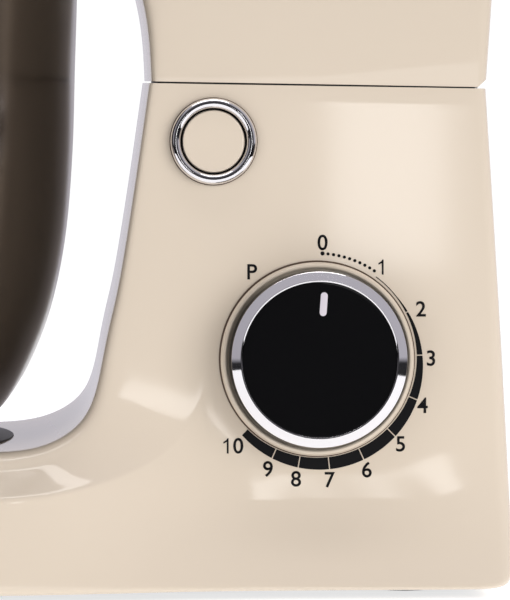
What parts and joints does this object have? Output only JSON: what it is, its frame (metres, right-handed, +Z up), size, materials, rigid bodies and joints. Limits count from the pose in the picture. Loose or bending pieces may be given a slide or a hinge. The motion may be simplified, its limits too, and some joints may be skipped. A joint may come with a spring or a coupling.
{
  "type": "stand mixer",
  "caption": "Tilt-head stand mixer with a round side speed dial, a head release button, a bayonet bowl and a belt and planetary drive turning a flat beater.",
  "frame": {"origin": "centre of the object's bounding box on the plane that the feet stand on", "axes": "+X to the rear (the head's nose is at -X), the dial and the button are on the -Y side, +Z up"},
  "size_m": [0.3942, 0.2398, 0.3572],
  "materials": {
    "cream": "gloss",
    "black_gloss": "gloss",
    "dark_plastic": "matte",
    "pale_plastic": "gloss",
    "rubber": "matte",
    "chrome": "polished",
    "dark_steel": "polished",
    "steel": "satin",
    "cast_aluminium": "satin",
    "brass": "satin",
    "copper": "satin",
    "board_green": "satin",
    "amber_film": "gloss",
    "belt_rubber": "matte"
  },
  "bodies": {
    "base": {"base_housing": "cream", "bottom_plate": "dark_plastic", "screw_1": "steel", "screw_2": "steel", "screw_3": "steel", "screw_4": "steel", "suction_foot_1": "rubber", "suction_foot_2": "rubber", "suction_foot_3": "rubber", "suction_foot_4": "rubber", "bowl_seat": "dark_plastic", "column_cap": "dark_plastic", "button_bezel": "chrome", "latch_guide": "dark_plastic", "dial_collar": "cream", "speed_switch": "dark_plastic", "control_board": "board_green", "capacitor": "amber_film", "heat_sink": "cast_aluminium", "interlock_switch": "dark_plastic", "cord_gland": "rubber", "column_knuckle_left": "steel", "column_knuckle_right": "steel", "hinge_pin": "steel"},
    "knob": {"speed_knob": "black_gloss", "knob_ring": "chrome", "knob_pointer": "pale_plastic", "knob_shaft": "steel"},
    "button": {"release_button": "cream", "latch_bolt": "steel", "button_spring": "steel"},
    "bowl": {"bowl": "dark_steel", "bowl_foot": "steel"},
    "head": {"head_upper_shell": "cream", "head_lower_shell": "cream", "neck_plate": "dark_plastic", "latch_striker": "steel", "head_knuckle": "steel", "head_chassis": "cast_aluminium", "ring_gear": "dark_plastic", "hub_collar": "chrome", "motor_stator": "copper", "motor_end_frame": "cast_aluminium", "brush_left": "dark_plastic", "brush_right": "dark_plastic", "drive_belt": "belt_rubber"},
    "rotor": {"motor_shaft": "steel", "motor_rotor": "steel", "commutator": "copper", "cooling_fan": "dark_plastic", "motor_pulley": "steel"},
    "layshaft": {"layshaft": "steel", "pinion": "steel", "belt_pulley": "dark_plastic"},
    "carrier": {"main_gear": "brass", "main_shaft": "steel", "planet_carrier": "cast_aluminium"},
    "planet": {"planet_gear": "steel", "tool_shaft": "steel", "flat_beater": "cast_aluminium"}
  },
  "joints": [
    {"name": "head_tilt", "type": "hinge", "parent": "base", "child": "head", "pos_m": [0.1836, 0, 0.1829], "axis": [0, 1, 0], "range_deg": [0, 40]},
    {"name": "knob_turn", "type": "hinge", "parent": "base", "child": "knob", "pos_m": [0.12535, -0.06295, 0.0851], "axis": [0, 0.9989, -0.0469], "range_deg": [-40, 220.5]},
    {"name": "button_push", "type": "slide", "parent": "base", "child": "button", "axis": [0, 0.9989, -0.0469], "range_m": [0, 0.0045], "stiffness_N_per_m": 500, "springref_m": -0.004, "deforming": ["button_spring"]},
    {"name": "bowl_twist", "type": "hinge", "parent": "base", "child": "bowl", "pos_m": [-0.077, 0, 0], "axis": [0, 0, 1], "range_deg": [0, 30]},
    {"name": "carrier_spin", "type": "hinge", "parent": "head", "child": "carrier", "pos_m": [-0.077, 0, 0], "axis": [0, 0, 1], "continuous": true},
    {"name": "planet_spin", "type": "hinge", "parent": "carrier", "child": "planet", "pos_m": [-0.051, 0, 0], "axis": [0, 0, 1], "continuous": true},
    {"name": "layshaft_spin", "type": "hinge", "parent": "head", "child": "layshaft", "pos_m": [-0.03325, 0, 0], "axis": [0, 0, 1], "continuous": true},
    {"name": "rotor_spin", "type": "hinge", "parent": "head", "child": "rotor", "pos_m": [0.125, 0, 0], "axis": [0, 0, 1], "continuous": true}
  ],
  "couplings": [
    {"joint": "planet_spin", "follows": "carrier_spin", "ratio": -3},
    {"joint": "layshaft_spin", "follows": "carrier_spin", "ratio": -4},
    {"joint": "rotor_spin", "follows": "carrier_spin", "ratio": -16}
  ]
}
